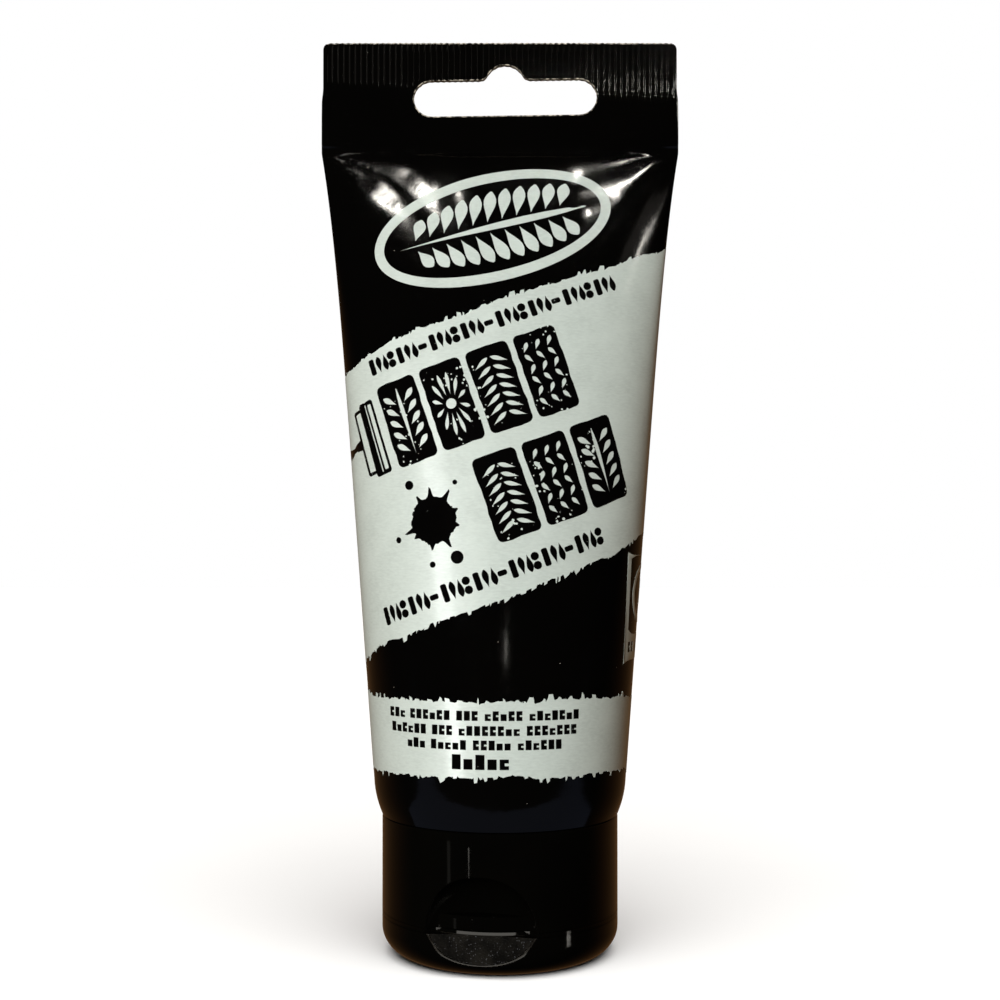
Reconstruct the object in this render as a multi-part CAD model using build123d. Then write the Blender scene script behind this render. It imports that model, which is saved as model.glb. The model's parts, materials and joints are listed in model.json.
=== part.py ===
from build123d import *
import math
import os

# A 100 ml plastic squeeze tube of block-printing ink, standing on its flip-top cap.
# Millimetres. +Z runs up from the lid's flat face to the crimped tail. The origin is the middle
# of that flat face. The printed front faces -Y.

# Heights above the lid's flat face
lid_top = 7.1
cap_top = 22.7
sleeve_end = 22.9
crimp_start = 132.8
rib_start = 142.5
overall_height = 151.4

# Sleeve: round at the shoulder, flat at the crimp
shoulder_half_width = 20.5
shoulder_half_depth = 20.0
half_width_gain = 8.2
flare_gain = 1.25
flare_power = 8
crimp_half_depth = 0.55
fullness_power = 1.3
closing_power = 0.6
edge_round_height = 5.0
edge_round_width = 0.9
edge_round_depth = 0.4
sleeve_wall = 0.5
section_count = 17

# Crimp and hang slot
rib_pitch = 0.97
rib_depth = 0.16
rib_count = 61
slot_length = 30.8
slot_height = 6.1
slot_height_above_lid = 142.1
slot_offset = 0.9
bump_radius = 3.4
bump_rise = 2.5
bump_fillet = 1.5
crimp_corner_radius = 1.2

# Shoulder and neck
cone_start_radius = 18.0
neck_radius = 7.8
neck_bore = 6.3
neck_root = 18.1
neck_end = 9.9
neck_end_plate = 1.1
head_thickness = 1.2
weld_bore = 16.8
weld_height = 3.6
bead_radius = 8.5
bead_low, bead_high = 13.2, 14.6
orifice_radius = 2.1
ink_gap = 0.1

# Cap body
cap_radius = 19.55
cap_wall = 1.3
rim_fillet = 0.4
deck_thickness = 1.5
deck_underside = 7.9
collar_outer, collar_inner, collar_low = 15.2, 14.0, 5.9
nozzle_root_radius, nozzle_tip_radius, nozzle_tip = 4.4, 3.2, 3.4
socket_bore, socket_outer, socket_top = 8.8, 9.9, 16.2
catch_radius, catch_low = 8.05, 15.0
inner_rib_count, inner_rib_thickness, inner_rib_top = 8, 0.9, 14.0

# Lid
lid_inner_radius = 17.7
lid_floor = 1.4
lid_edge_radius = 4.5
lid_inner_edge_radius = 3.0
plug_radius, plug_tip = 1.75, 6.2

# Thumb recess, shared by cap body and lid
cap_turned = -9.8
recess_half_width = 9.8
recess_reach = 5.5
recess_centre = 6.1
recess_backing = 1.2
ledge_radius, ledge_top = 17.4, 9.3
lip_underside = 6.4
scoop_radius, scoop_out, scoop_up = 58.5, 70.97, 28.7

# Film hinge at the back of the cap
hinge_flat = 18.9
hinge_thickness = 0.36
hinge_width = 9.0
hinge_half_height = 1.1
hinge_flat_low, hinge_flat_high = 1.5, 12.7

centred = (Align.CENTER, Align.CENTER, Align.MIN)


def disc(radius, low, high):
    return Pos(0, 0, low) * Cylinder(radius, high - low, align=centred)


def turned_solid(points):
    """A solid of revolution about Z from (radius, height) points."""
    outline = make_face(Plane.XZ * Polyline(*points, close=True))
    return revolve(outline, axis=Axis.Z)


def edge_rounding(z):
    """How far the sleeve has still to swell above its rounded end, from 1 down to 0."""
    return max(0.0, 1 - (z - sleeve_end) / edge_round_height) ** 2


def sleeve_half_width(t):
    z = sleeve_end + t * (crimp_start - sleeve_end)
    straight = shoulder_half_width + half_width_gain * t
    return straight + flare_gain * t**flare_power - edge_round_width * edge_rounding(z)


def sleeve_half_depth(t):
    z = sleeve_end + t * (crimp_start - sleeve_end)
    closing = (1 - t**fullness_power) ** closing_power
    swell = (shoulder_half_depth - crimp_half_depth) * closing
    return crimp_half_depth + swell - edge_round_depth * edge_rounding(z)


def pillow(inset):
    """The filled sleeve's shape. One that is drawn in by inset all round stops short of the crimp."""
    sections = []
    last = section_count if inset == 0 else section_count - 1
    for i in range(last):
        t = (1 - math.cos(math.pi * i / (section_count - 1))) / 2
        z = sleeve_end + t * (crimp_start - sleeve_end)
        half_width = sleeve_half_width(t) - inset
        half_depth = sleeve_half_depth(t) - inset
        sections.append(Pos(0, 0, z) * Ellipse(half_width, half_depth))
    return loft(sections)


def hang_slot():
    """A round-ended slot with a round bump in the middle of its upper side."""
    upper_side = slot_height / 2
    bump = Pos(0, upper_side + bump_rise - bump_radius) * Circle(bump_radius)
    outline = SlotOverall(slot_length, slot_height) + bump
    corners = [v for v in outline.vertices() if abs(v.Y - upper_side) < 0.01 and abs(v.X) < bump_radius]
    outline = fillet(corners, bump_fillet)
    placed = Plane.XZ * Pos(slot_offset, slot_height_above_lid) * outline
    return extrude(placed, amount=10, both=True)


def crimp():
    """The welded tail: plain below, ribbed above, with the ridges of one face behind the other's grooves."""
    half_width = sleeve_half_width(1)
    overlap = 0.8
    plain_height = rib_start - crimp_start + overlap
    plain = Pos(0, 0, crimp_start - overlap) * Box(
        2 * half_width, 2 * crimp_half_depth, plain_height, align=centred
    )
    front, back = [], []
    for i in range(2 * rib_count + 1):
        x = (i - rib_count) * rib_pitch / 2
        shift = rib_depth / 2 if i % 2 else -rib_depth / 2
        front.append((x, shift - crimp_half_depth))
        back.append((x, shift + crimp_half_depth))
    section = make_face(Polyline(*front, *reversed(back), close=True))
    ribbed = Pos(0, 0, rib_start) * extrude(section, amount=overall_height - rib_start)
    tail = plain + ribbed
    trim = Pos(0, 0, crimp_start - overlap) * Box(
        2 * half_width, 4, overall_height - crimp_start + overlap, align=centred
    )
    corners = trim.edges().filter_by(Axis.Y).group_by(Axis.Z)[-1]
    return tail & fillet(corners, crimp_corner_radius)


def tube_sleeve():
    return pillow(0) + crimp() - pillow(sleeve_wall) - hang_slot()


def inner_cone(radius):
    """Height of the moulded head's inner face at a radius between the neck's bore and the weld."""
    slope = (sleeve_end - neck_root) / (cone_start_radius - neck_radius)
    return neck_root + slope * (radius - neck_radius) + head_thickness


def shoulder():
    """The moulded head that closes the sleeve's round end, with its snap neck and orifice."""
    far = shoulder_half_width + 2
    weld_top = sleeve_end + weld_height
    plate_top = neck_end + neck_end_plate
    points = [
        (cone_start_radius, sleeve_end),
        (neck_radius, neck_root),
        (neck_radius, bead_high),
        (bead_radius, bead_high - 0.4),
        (bead_radius, bead_low + 0.5),
        (neck_radius, bead_low),
        (neck_radius, neck_end + 0.5),
        (neck_radius - 0.5, neck_end),
        (orifice_radius, neck_end),
        (orifice_radius, plate_top),
        (neck_bore, plate_top),
        (neck_bore, inner_cone(neck_bore)),
        (weld_bore, inner_cone(weld_bore)),
        (weld_bore, weld_top),
        (far, weld_top),
        (far, sleeve_end),
    ]
    inside_sleeve = pillow(sleeve_wall)
    return turned_solid(points) & (inside_sleeve + disc(cone_start_radius, 0, sleeve_end))


def ink_fill():
    """The contents: everything inside the sleeve, the head and the neck."""
    weld_top = sleeve_end + weld_height + ink_gap
    in_sleeve = pillow(sleeve_wall + ink_gap) - disc(shoulder_half_width + 2, sleeve_end - 1, weld_top)
    in_neck = neck_bore - ink_gap
    in_weld = weld_bore - ink_gap
    points = [
        (0, neck_end + neck_end_plate + ink_gap),
        (in_neck, neck_end + neck_end_plate + ink_gap),
        (in_neck, inner_cone(in_neck) + ink_gap),
        (in_weld, inner_cone(in_weld) + ink_gap),
        (in_weld, weld_top + 1),
        (0, weld_top + 1),
    ]
    return in_sleeve + turned_solid(points)


def recess_bowl(grow):
    """The rounded hollow for the thumb, as a solid: an ellipsoid about a line along -Y."""
    half = Ellipse(recess_half_width + grow, recess_reach + grow) & Pos(50, 0) * Rectangle(100, 100)
    return Pos(0, -cap_radius, recess_centre) * revolve(half, axis=Axis.Y)


def scoop_ball(grow):
    return Pos(0, -scoop_out, scoop_up) * Sphere(scoop_radius + grow)


def hinge_facet(low, high):
    """The material cut from the round back so that the hinge lies on a flat."""
    return Pos(0, hinge_flat, low) * Box(
        20, 5, high - low, align=(Align.CENTER, Align.MIN, Align.MIN)
    )


def cap_body():
    deck_top = deck_underside + deck_thickness
    inner = cap_radius - cap_wall
    points = [
        (orifice_radius, nozzle_tip),
        (nozzle_tip_radius, nozzle_tip),
        (nozzle_root_radius, deck_underside),
        (collar_inner, deck_underside),
        (collar_inner, collar_low),
        (collar_outer, collar_low),
        (collar_outer, lid_top),
        (cap_radius, lid_top),
        (cap_radius, cap_top - rim_fillet),
        (cap_radius - rim_fillet, cap_top),
        (inner, cap_top),
        (inner, deck_top),
        (socket_outer, deck_top),
        (socket_outer, socket_top),
        (catch_radius + 0.5, socket_top),
        (catch_radius, socket_top - 0.5),
        (catch_radius, catch_low),
        (socket_bore, catch_low),
        (socket_bore, deck_top),
        (orifice_radius, deck_top),
    ]
    body = turned_solid(points)
    for i in range(inner_rib_count):
        length = inner + 0.2 - socket_outer + 0.2
        rib = Pos(socket_outer - 0.2, 0, deck_top - 0.2) * Box(
            length, inner_rib_thickness, inner_rib_top - deck_top, align=(Align.MIN, Align.CENTER, Align.MIN)
        )
        body += Rot(0, 0, (i + 0.5) * 360 / inner_rib_count) * rib
    hollow = disc(inner + 0.1, deck_top - 0.1, cap_top - 0.5)
    body += recess_bowl(recess_backing) & hollow
    bowl = recess_bowl(0) - disc(ledge_radius, 0, ledge_top)
    return body - bowl - hinge_facet(lid_top - 1, hinge_flat_high)


def lid():
    outer = disc(cap_radius, 0, lid_top)
    outer = fillet(outer.edges().group_by(Axis.Z)[0], lid_edge_radius)
    hollow = disc(lid_inner_radius, lid_floor, lid_top + 1)
    hollow = fillet(hollow.edges().group_by(Axis.Z)[0], lid_inner_edge_radius)
    backing = scoop_ball(recess_backing) & disc(lid_inner_radius + 0.1, lid_floor - 0.1, lid_top)
    backing -= Pos(0, 20, 0) * Box(60, 40, 60)
    plug = disc(plug_radius, lid_floor - 0.1, plug_tip)
    plug = fillet(plug.edges().group_by(Axis.Z)[-1], 0.6)
    body = outer - hollow + backing + plug
    scoop = scoop_ball(0) & disc(30, -1, lip_underside)
    bowl = recess_bowl(0) - disc(ledge_radius, -20, 40)
    bowl &= disc(30, lip_underside - 0.1, lid_top + 1)
    return body - scoop - bowl - hinge_facet(hinge_flat_low, lid_top + 1)


def film_hinge():
    """The thin web that lid and cap body are moulded on, folded at the parting line."""
    return Pos(0, hinge_flat + hinge_thickness / 2, lid_top) * Box(
        hinge_width, hinge_thickness, 2 * hinge_half_height
    )


as_turned = Rot(0, 0, cap_turned)
nodes = {
    "tube_sleeve": tube_sleeve(),
    "shoulder": shoulder(),
    "ink_fill": ink_fill(),
    "cap_body": as_turned * cap_body(),
    "film_hinge": as_turned * film_hinge(),
    "lid": as_turned * lid(),
}

os.makedirs("parts", exist_ok=True)
for name, shape in nodes.items():
    export_step(shape, f"parts/{name}.step")
    print(f"{name}: {shape.volume / 1000:.1f} ml")
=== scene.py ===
import json
import math
import random

import bpy
import numpy as np
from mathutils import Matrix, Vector, geometry, noise

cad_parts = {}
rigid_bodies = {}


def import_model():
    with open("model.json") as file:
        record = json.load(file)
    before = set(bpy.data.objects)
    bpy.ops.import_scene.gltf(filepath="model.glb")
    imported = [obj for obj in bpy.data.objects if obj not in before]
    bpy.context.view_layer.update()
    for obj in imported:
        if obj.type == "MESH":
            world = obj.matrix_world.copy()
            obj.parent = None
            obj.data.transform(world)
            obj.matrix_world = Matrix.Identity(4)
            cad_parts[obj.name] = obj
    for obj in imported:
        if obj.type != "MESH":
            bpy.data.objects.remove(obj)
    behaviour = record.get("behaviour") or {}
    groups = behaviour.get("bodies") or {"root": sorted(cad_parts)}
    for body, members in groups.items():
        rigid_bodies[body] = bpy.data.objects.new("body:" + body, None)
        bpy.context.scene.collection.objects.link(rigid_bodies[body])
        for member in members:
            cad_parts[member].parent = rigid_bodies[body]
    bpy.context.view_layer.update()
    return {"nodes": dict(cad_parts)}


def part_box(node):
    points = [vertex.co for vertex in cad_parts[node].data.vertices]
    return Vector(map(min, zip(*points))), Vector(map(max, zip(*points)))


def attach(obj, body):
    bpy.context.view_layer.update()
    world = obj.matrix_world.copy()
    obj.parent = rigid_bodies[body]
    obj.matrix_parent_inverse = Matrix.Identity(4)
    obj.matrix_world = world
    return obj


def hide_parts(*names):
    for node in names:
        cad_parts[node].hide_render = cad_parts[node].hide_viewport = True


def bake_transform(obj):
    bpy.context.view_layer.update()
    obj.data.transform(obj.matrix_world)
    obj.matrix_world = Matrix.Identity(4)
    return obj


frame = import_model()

mm = 0.001
print("frame loaded:", ", ".join(sorted(frame["nodes"])))


# small helpers that every piece uses

def toMm(corner):
    return [v / mm for v in corner]


def smooth(t):
    t = np.clip(t, 0.0, 1.0)
    return t * t * (3 - 2 * t)


# Smaller of two lengths, with a rounded crossing that many millimetres wide.
def softMin(a, b, blend):
    h = np.clip(0.5 + 0.5 * (b - a) / blend, 0.0, 1.0)
    return b * (1 - h) + a * h - blend * h * (1 - h)


def arc(centre, radius, start, stop, count):
    a = np.radians(np.linspace(start, stop, count))
    return [(centre[0] + radius * math.cos(t), centre[1] + radius * math.sin(t)) for t in a]


# Points turned about the origin, then moved to the centre.
def turned(loop, centre, degrees):
    c, s = math.cos(math.radians(degrees)), math.sin(math.radians(degrees))
    return [(centre[0] + x * c - z * s, centre[1] + x * s + z * c) for x, z in loop]


# A mesh object from millimetre points. faceMaterial gives each face its material's number.
def makePiece(name, verts, faces, materials, faceMaterial=None, smoothAngle=35):
    mesh = bpy.data.meshes.new(name)
    mesh.from_pydata((np.asarray(verts, float) * mm).tolist(), [], faces)
    for material in materials:
        mesh.materials.append(material)
    if faceMaterial is not None:
        mesh.polygons.foreach_set("material_index", np.asarray(faceMaterial, np.int32))
    mesh.validate()
    mesh.shade_smooth()
    mesh.set_sharp_from_angle(angle=math.radians(smoothAngle))
    piece = bpy.data.objects.new(name, mesh)
    bpy.context.scene.collection.objects.link(piece)
    return piece


def applyModifiers(piece):
    graph = bpy.context.evaluated_depsgraph_get()
    made = bpy.data.meshes.new_from_object(piece.evaluated_get(graph), depsgraph=graph)
    piece.modifiers.clear()
    piece.data = made


# materials: black polyethylene sleeve, its print, and the polypropylene cap

# An sRGB hex colour as linear red, green, blue and alpha.
def linear(hexColour):
    parts = [int(hexColour[i:i + 2], 16) / 255 for i in (1, 3, 5)]
    return [p / 12.92 if p <= 0.04045 else ((p + 0.055) / 1.055) ** 2.4 for p in parts] + [1.0]


# Adds a node, sets its own settings, and sets or links its inputs.
def addNode(tree, kind, settings=None, inputs=None):
    node = tree.nodes.new(kind)
    for key, value in (settings or {}).items():
        setattr(node, key, value)
    for key, value in (inputs or {}).items():
        socket = node.inputs[key]
        if isinstance(value, bpy.types.NodeSocket):
            tree.links.new(value, socket)
        else:
            socket.default_value = value
    return node


# Noise scale, in cells per metre, for features about that many millimetres across.
def perMm(sizeMm):
    return 1 / (sizeMm * mm)


# A material in the making: its shader's fixed values are set, and place is the object's own coordinates.
class Finish:
    def __init__(self, name, shader):
        self.material = bpy.data.materials.new(name)
        self.material.use_nodes = True
        self.tree = self.material.node_tree
        self.tree.nodes.clear()
        self.surface = addNode(self.tree, "ShaderNodeBsdfPrincipled", inputs=shader)
        addNode(self.tree, "ShaderNodeOutputMaterial", inputs={"Surface": self.surface.outputs[0]})
        self.place = addNode(self.tree, "ShaderNodeTexCoord").outputs["Object"]

    def stretched(self, scale):
        return addNode(self.tree, "ShaderNodeMapping", inputs={
            "Vector": self.place, "Scale": scale}).outputs["Vector"]

    def noise(self, sizeMm, detail, place=None, output="Fac"):
        return addNode(self.tree, "ShaderNodeTexNoise", inputs={
            "Vector": place or self.place, "Scale": perMm(sizeMm), "Detail": detail}).outputs[output]

    def cells(self, sizeMm, place=None):
        return addNode(self.tree, "ShaderNodeTexVoronoi", inputs={
            "Vector": place or self.place, "Scale": perMm(sizeMm)})

    def maths(self, operation, first, second):
        node = addNode(self.tree, "ShaderNodeMath", {"operation": operation}, {0: first, 1: second})
        return node.outputs[0]

    # dots of that reach in the cells whose draw is above the rarity
    def specks(self, sizeMm, rarity, reach):
        cells = self.cells(sizeMm)
        draw = addNode(self.tree, "ShaderNodeSeparateColor", inputs={"Color": cells.outputs["Color"]})
        near = self.maths("LESS_THAN", cells.outputs["Distance"], reach)
        return self.maths("MULTIPLY", near, self.maths("GREATER_THAN", draw.outputs[0], rarity))

    def remap(self, value, low=0, high=1, toLow=0, toHigh=1):
        return addNode(self.tree, "ShaderNodeMapRange", inputs={
            "Value": value, "From Min": low, "From Max": high, "To Min": toLow, "To Max": toHigh,
        }).outputs["Result"]

    # first and second are hex colours or other nodes' outputs
    def mix(self, share, first, second):
        first, second = (linear(c) if isinstance(c, str) else c for c in (first, second))
        return addNode(self.tree, "ShaderNodeMix", {"data_type": "RGBA"}, {
            "Factor": share, "A": first, "B": second}).outputs["Result"]

    def bump(self, strength, depthMm, height):
        return addNode(self.tree, "ShaderNodeBump", inputs={
            "Strength": strength, "Distance": depthMm * mm, "Height": height}).outputs["Normal"]

    def done(self, colour, rough, normal=None):
        for socket, source in (("Base Color", colour), ("Roughness", rough), ("Normal", normal)):
            if source is not None:
                self.tree.links.new(source, self.surface.inputs[socket])
        return self.material


sleeveFinish = {"black": "#030303", "brown": "#060504", "dust": "#8d8880",
                "orangePeelMm": 1.6, "specMm": 2.4}


def glossBlackPolyethylene():
    # blown and varnished PE: deep black, sharp but slightly wavy reflections, a few specks of dust
    s = sleeveFinish
    finish = Finish("gloss_black_polyethylene", {"IOR": 1.51, "Specular IOR Level": 0.5})
    tint = finish.mix(finish.noise(14, 3), s["black"], s["brown"])
    colour = finish.mix(finish.specks(s["specMm"], 0.72, 0.035), tint, s["dust"])
    rough = finish.remap(finish.noise(6, 4), 0.3, 0.75, 0.08, 0.15)
    return finish.done(colour, rough, finish.bump(0.35, 0.035, finish.noise(s["orangePeelMm"], 2)))


def cutPolyethyleneWithHighlight():
    # sheared edge of the welded tail: rough where the blade tore the black skin, and pale, partly as a
    # painted highlight of the light that the cut edges catch
    finish = Finish("cut_polyethylene_painted_highlight", {"IOR": 1.51})
    tearAndHighlight = finish.noise(0.5, 3)
    # pale where the noise is high: partly a painted highlight
    colour = finish.mix(finish.remap(tearAndHighlight, 0.42, 0.66), "#17120e", "#efe3d0")
    return finish.done(colour, finish.remap(tearAndHighlight, toLow=0.25, toHigh=0.6), finish.bump(0.8, 0.08, tearAndHighlight))


printFinish = {"white": "#dae3dd", "greyWhite": "#ccd5cf", "black": "#050404", "threadMm": 0.28}


def screenPrintedWhite():
    # opaque white ink over black: faint lines from the screen's mesh, and the sleeve's varnish on top
    s = printFinish
    finish = Finish("screen_printed_white", {
        "IOR": 1.5, "Coat Weight": 0.3, "Coat Roughness": 0.14, "Coat IOR": 1.5})
    thread = finish.noise(s["threadMm"], 2, finish.stretched((0.3, 0.3, 1)))
    blotch = finish.noise(5, 4)
    share = finish.remap(finish.maths("MULTIPLY", thread, blotch), 0.12, 0.42)
    rough = finish.remap(blotch, toLow=0.34, toHigh=0.48)
    return finish.done(finish.mix(share, s["white"], s["greyWhite"]), rough, finish.bump(0.25, 0.02, thread))


def screenPrintedBlack(name, fleckMm, fleckShare):
    # block-print look: black with flecks where the relief did not take ink, so the white shows
    s = printFinish
    finish = Finish(name, {"IOR": 1.5, "Coat Weight": 0.35, "Coat Roughness": 0.16, "Coat IOR": 1.5})
    pushed = addNode(finish.tree, "ShaderNodeVectorMath", {"operation": "SCALE"}, {
        0: finish.noise(1.5, 2, output="Color"), "Scale": 0.6 * mm})
    moved = addNode(finish.tree, "ShaderNodeVectorMath", {"operation": "ADD"}, {
        0: finish.place, 1: pushed.outputs["Vector"]})
    fleck = finish.cells(fleckMm, moved.outputs["Vector"])
    patch = finish.noise(5, 2)
    reach = finish.remap(patch, 0.46, 0.68, 0.02, fleckShare)
    bare = finish.maths("LESS_THAN", fleck.outputs["Distance"], reach)
    colour = finish.mix(bare, s["black"], s["white"])
    return finish.done(colour, finish.remap(patch, toLow=0.24, toHigh=0.36))


capFinish = {"black": "#030303", "warm": "#070604", "grey": "#0b0a09", "haze": "#191714",
             "sparkleHighlight": "#4c4c4f", "gritMm": 0.3, "sparkleHighlightMm": 0.34, "paintedEdgeHighlight": "#15120f", "shine": "#2f2c28"}


def glossBlackPolypropylene():
    # injection moulded in a polished tool: deep gloss with faint upright draw marks and handling haze
    s = capFinish
    finish = Finish("gloss_black_polypropylene", {"IOR": 1.49})
    cloud = finish.noise(9, 3)
    rough = finish.remap(cloud, 0.35, 0.7, 0.05, 0.11)
    drawn = finish.noise(1.2, 2, finish.stretched((1, 1, 0.08)))
    return finish.done(finish.mix(cloud, s["black"], s["warm"]), rough, finish.bump(0.2, 0.03, drawn))


def sparkErodedPolypropylene():
    # the thumb scoop's tool face is eroded by sparks into a fine grit; its sparkles are painted highlights,
    # bright specks in the colour
    s = capFinish
    finish = Finish("spark_eroded_polypropylene", {"IOR": 1.49})
    cloud = finish.noise(2.2, 4)
    dull = finish.mix(finish.remap(cloud, 0.35, 0.68), s["grey"], s["haze"])
    # bright specks: painted sparkle highlights on the grit
    colour = finish.mix(finish.specks(s["sparkleHighlightMm"], 0.66, 0.22), dull, s["sparkleHighlight"])
    grit = finish.cells(s["gritMm"]).outputs["Distance"]
    return finish.done(colour, finish.remap(cloud, toLow=0.3, toHigh=0.5), finish.bump(0.9, 0.06, grit))


def polypropyleneEdgeHighlight():
    # the thin arris round the scoop and lip, painted lighter as a highlight where the edge catches the light
    s = capFinish
    finish = Finish("polypropylene_edge_painted_highlight", {"IOR": 1.49})
    paintedEdgeHighlight = finish.noise(1.6, 3)
    colour = finish.mix(finish.remap(paintedEdgeHighlight, 0.35, 0.7), s["paintedEdgeHighlight"], s["shine"])
    return finish.done(colour, finish.remap(paintedEdgeHighlight, toLow=0.2, toHigh=0.4))


def wetBlackInk():
    # water-based block-printing ink: a stiff paste with a wet skin
    finish = Finish("wet_black_ink", {"IOR": 1.4, "Coat Weight": 0.5})
    swirl = finish.noise(3, 3)
    return finish.done(finish.mix(swirl, "#060606", "#101012"), finish.remap(swirl, toLow=0.2, toHigh=0.4))


blackSleeve = glossBlackPolyethylene()
cutEdgeWithHighlight = cutPolyethyleneWithHighlight()
whitePrint = screenPrintedWhite()
blockPrint = screenPrintedBlack("block_printed_black", 0.85, 0.3)
finePrint = screenPrintedBlack("fine_printed_black", 1.6, 0.06)
blackCap = glossBlackPolypropylene()
gritCap = sparkErodedPolypropylene()
edgeHighlightMaterial = polypropyleneEdgeHighlight()
blackInk = wetBlackInk()
print("materials made")


# sleeve: one skin, round at the shoulder, flat and ribbed at the tail

sleeveLow, sleeveHigh = (toMm(c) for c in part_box("tube_sleeve"))

sleeve = {
    "bottom": sleeveLow[2],
    "top": sleeveHigh[2],
    "crimpHalfWidth": sleeveHigh[0],
    "crimpHeight": 18.6,        # welded, flat part of the tail
    "roundHalfWidth": 20.5,     # just above the shoulder
    "roundHalfDepth": 20.0,
    "evenGain": 8.2,            # widens evenly, then flares near the weld
    "flareGain": 1.25,
    "weldHalfDepth": 0.55,
    "endRound": 5.0,            # height of the rounded end at the shoulder
    "endInWidth": 0.9,
    "endInDepth": 0.4,
    "wall": 0.5,
    "columns": 744,
    "ribPitch": 0.97,
    "ribDepth": 0.15,
    "ribFoot": 142.9,           # height of the ribs' lower ends at the middle
    "ribFootSlope": -0.035,
    "edgeChamfer": 0.24,
}
sleeve["crimpFoot"] = sleeve["top"] - sleeve["crimpHeight"]


# Half width, half depth and side fullness of the sleeve's section at height z.
def sectionSize(z):
    c = sleeve
    t = np.clip((z - c["bottom"]) / (c["crimpFoot"] - c["bottom"]), 0, 1)
    end = np.clip(1 - (z - c["bottom"]) / c["endRound"], 0, 1) ** 2
    width = c["roundHalfWidth"] + c["evenGain"] * t + c["flareGain"] * t**8 - c["endInWidth"] * end
    swell = (c["roundHalfDepth"] - c["weldHalfDepth"]) * (1 - t**1.3) ** 0.6
    depth = c["weldHalfDepth"] + swell - c["endInDepth"] * end
    flat = smooth((z - c["crimpFoot"]) / 1.6)
    power = (1 + 0.7 * t**4) * (1 - flat) + 0.16 * flat
    gathered = smooth((z - c["ribFoot"] + 2) / 3)
    corner = np.clip((z - (c["top"] - 1.1)) / 1.1, 0, 1)
    width = width - 0.25 * gathered - 1.1 * (1 - np.sqrt(1 - corner**2))
    return width, depth, power


# creases that the weld pulls into the sleeve: start, end, width and depth in millimetres
creases = [
    {"from": (-28.5, 132.0), "to": (-23.5, 96.0), "width": 1.5, "depth": 0.2},
    {"from": (-26.8, 131.8), "to": (-22.0, 112.0), "width": 1.3, "depth": -0.07},
    {"from": (-24.0, 132.4), "to": (-16.0, 128.5), "width": 1.1, "depth": 0.1},
    {"from": (-20.6, 126.2), "to": (-17.2, 123.4), "width": 1.9, "depth": 0.12},
    {"from": (-14.8, 128.2), "to": (-7.6, 119.8), "width": 2.3, "depth": 0.17},
    {"from": (12.0, 129.2), "to": (13.0, 127.2), "width": 1.8, "depth": 0.12},
    {"from": (13.8, 124.4), "to": (20.0, 125.6), "width": 1.6, "depth": 0.11},
    {"from": (27.8, 131.6), "to": (23.2, 113.0), "width": 1.4, "depth": 0.08},
    {"from": (26.0, 129.5), "to": (15.5, 116.5), "width": 0.7, "depth": 0.09},
    {"from": (25.5, 132.2), "to": (21.0, 129.0), "width": 1.0, "depth": 0.06},
    {"from": (-12.0, 132.4), "to": (-9.0, 124.0), "width": 2.2, "depth": 0.22},
    {"from": (11.0, 132.4), "to": (13.5, 122.0), "width": 2.4, "depth": -0.25},
]


# How far the skin lies inside its smooth shape, from creases, dents and the weld's pull.
def dent(x, z, side):
    total = np.zeros_like(x)
    for c in creases:
        a, b = np.array(c["from"]), np.array(c["to"])
        along = b - a
        mirrored = x * side
        t = np.clip(((mirrored - a[0]) * along[0] + (z - a[1]) * along[1]) / (along @ along), 0, 1)
        away = np.hypot(mirrored - a[0] - t * along[0], z - a[1] - t * along[1])
        total += c["depth"] * np.exp(-(away / c["width"]) ** 2) * np.sqrt(1 - t**2 * 0.9)
    foot = sleeve["crimpFoot"]
    near = np.exp(-((z - foot) / 9.0) ** 2) * (z < foot)
    total += near * 0.06 * np.sin(x * 0.5 + side) * np.cos(x * 0.17 + 0.8)
    total += 0.07 * np.sin(z * 0.11 + x * 0.17 + side) * np.sin(x * 0.13 - z * 0.05)
    return total * smooth((foot - z) / 1.2) * smooth((z - sleeve["bottom"] - 2) / 10)


# Points of the sleeve's front half by height and by share of the way round it.
class SectionTable:
    def __init__(self, inset=0.0, top=None):
        self.heights = np.arange(sleeve["bottom"], (top or sleeve["top"]) + 0.2, 0.2)
        self.shares = np.linspace(0, 1, 373)
        turn = np.linspace(0, math.pi, 721)
        width, depth, power = sectionSize(self.heights)
        width, depth = width - inset, np.maximum(depth - inset, 0.02)
        self.x = np.zeros((len(self.heights), len(self.shares)))
        self.y = np.zeros_like(self.x)
        self.length = np.zeros(len(self.heights))
        for i in range(len(self.heights)):
            x = -width[i] * np.cos(turn)
            y = depth[i] * np.sin(turn) ** power[i]
            run = np.concatenate([[0], np.cumsum(np.hypot(np.diff(x), np.diff(y)))])
            self.length[i] = run[-1]
            self.x[i] = np.interp(self.shares, run / run[-1], x)
            self.y[i] = np.interp(self.shares, run / run[-1], y)

    def at(self, share, z):
        row = np.clip((z - self.heights[0]) / 0.2, 0, len(self.heights) - 1.001)
        col = np.clip(share * (len(self.shares) - 1), 0, len(self.shares) - 1.001)
        i, j = row.astype(int), col.astype(int)
        u, v = row - i, col - j
        found = []
        for grid in (self.x, self.y):
            low = grid[i, j] * (1 - v) + grid[i, j + 1] * v
            high = grid[i + 1, j] * (1 - v) + grid[i + 1, j + 1] * v
            found.append(low * (1 - u) + high * u)
        return found


table = SectionTable()


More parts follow.
